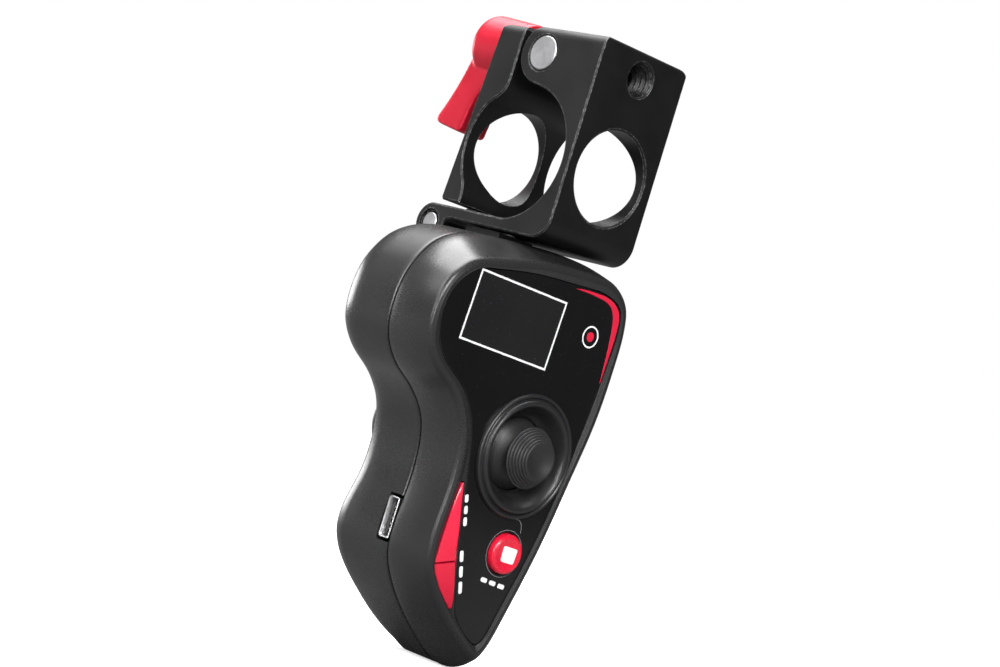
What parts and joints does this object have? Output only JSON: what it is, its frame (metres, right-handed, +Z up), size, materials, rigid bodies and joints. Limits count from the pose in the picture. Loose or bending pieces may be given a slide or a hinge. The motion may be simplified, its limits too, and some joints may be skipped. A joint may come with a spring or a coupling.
{
  "type": "gimbal thumb controller",
  "caption": "Handheld wireless thumb controller with display, thumbstick, power button, leaf keys and rear trigger, hanging from a hinged tube clamp with a red clamping lever.",
  "frame": {"origin": "centre of the clamp bore that grips a 25 mm tube, halfway along the clamp", "axes": "+X along the tube, -Y towards the user (display, thumbstick and keys), +Z up, from the handset towards the clamp"},
  "size_m": [0.0487, 0.0506, 0.1191],
  "materials": {
    "black_anodised": "satin black anodised",
    "red_anodised": "satin red anodised",
    "steel": "machined",
    "shell_plastic": "satin black, fine grain",
    "gloss_panel": "polished black",
    "red_plastic": "semi-gloss red",
    "stick_rubber": "matt, ribbed",
    "black_plastic": "satin",
    "circuit_board": "solder mask",
    "battery_foil": "foil pouch",
    "display_glass": "display module, glass front"
  },
  "bodies": {
    "handset": {"clamp_body": "black_anodised", "hinge_pin": "steel", "barrel_nut": "steel", "front_shell": "shell_plastic", "rear_shell": "shell_plastic", "shell_screw_1": "steel", "shell_screw_2": "steel", "shell_screw_3": "steel", "shell_screw_4": "steel", "mount_bracket": "black_anodised", "mount_screw_1": "steel", "mount_screw_2": "steel", "face_panel": "gloss_panel", "display_module": "display_glass", "stick_ring": "black_plastic", "stick_housing": "steel", "stick_sensor_side": "black_plastic", "stick_sensor_lower": "black_plastic", "stick_spring": "steel", "trigger_pin": "steel", "trigger_spring": "steel", "main_board": "circuit_board", "battery": "battery_foil", "radio_module": "circuit_board", "power_switch": "black_plastic", "upper_key_switch": "black_plastic", "lower_key_switch": "black_plastic", "trigger_switch": "black_plastic", "usb_socket": "steel"},
    "washer": {"lever_washer": "steel"},
    "lever": {"clamp_screw": "steel", "clamp_lever": "red_anodised"},
    "jaw": {"clamp_jaw": "black_anodised"},
    "stick_cradle": {"stick_gimbal": "black_plastic"},
    "stick": {"thumbstick": "stick_rubber"},
    "power_key": {"power_button": "red_plastic"},
    "upper_leaf": {"upper_key": "red_plastic"},
    "lower_leaf": {"lower_key": "red_plastic"},
    "rear_trigger": {"trigger": "stick_rubber"}
  },
  "joints": [
    {"name": "screw_travel", "type": "slide", "parent": "handset", "child": "washer", "axis": [0, 0.9975, 0.0706], "range_m": [0, 0.003]},
    {"name": "lever_turn", "type": "hinge", "parent": "washer", "child": "lever", "pos_m": [0, 0, 0.01855], "axis": [0, 0.9975, 0.0706], "range_deg": [0, 1351]},
    {"name": "jaw_open", "type": "hinge", "parent": "handset", "child": "jaw", "pos_m": [0, 0.016, -0.0159], "axis": [-1, 0, 0], "range_deg": [0, 4.6]},
    {"name": "stick_tilt_x", "type": "hinge", "parent": "handset", "child": "stick_cradle", "pos_m": [-0.00045, -0.006, -0.0521], "axis": [1, 0, 0], "range_deg": [-11.5, 11.5], "stiffness_Nm_per_rad": 0.04},
    {"name": "stick_tilt_z", "type": "hinge", "parent": "stick_cradle", "child": "stick", "pos_m": [-0.00045, -0.006, -0.0521], "axis": [0, 0, 1], "range_deg": [-11.5, 11.5], "stiffness_Nm_per_rad": 0.04},
    {"name": "power_press", "type": "slide", "parent": "handset", "child": "power_key", "axis": [0, 1, 0], "range_m": [0, 0.0008], "stiffness_N_per_m": 1500},
    {"name": "upper_press", "type": "slide", "parent": "handset", "child": "upper_leaf", "axis": [0, 1, 0], "range_m": [0, 0.0005], "stiffness_N_per_m": 1500},
    {"name": "lower_press", "type": "slide", "parent": "handset", "child": "lower_leaf", "axis": [0, 1, 0], "range_m": [0, 0.0005], "stiffness_N_per_m": 1500},
    {"name": "trigger_press", "type": "hinge", "parent": "handset", "child": "rear_trigger", "pos_m": [-0.0025, 0.0082, -0.0445], "axis": [-1, 0, 0], "range_deg": [0, 8], "stiffness_Nm_per_rad": 0.15, "deforming": ["trigger_spring"]}
  ],
  "couplings": [
    {"joint": "lever_turn", "follows": "screw_travel", "rad_per_m": 7854},
    {"joint": "jaw_open", "follows": "screw_travel", "rad_per_m": 26.18}
  ]
}
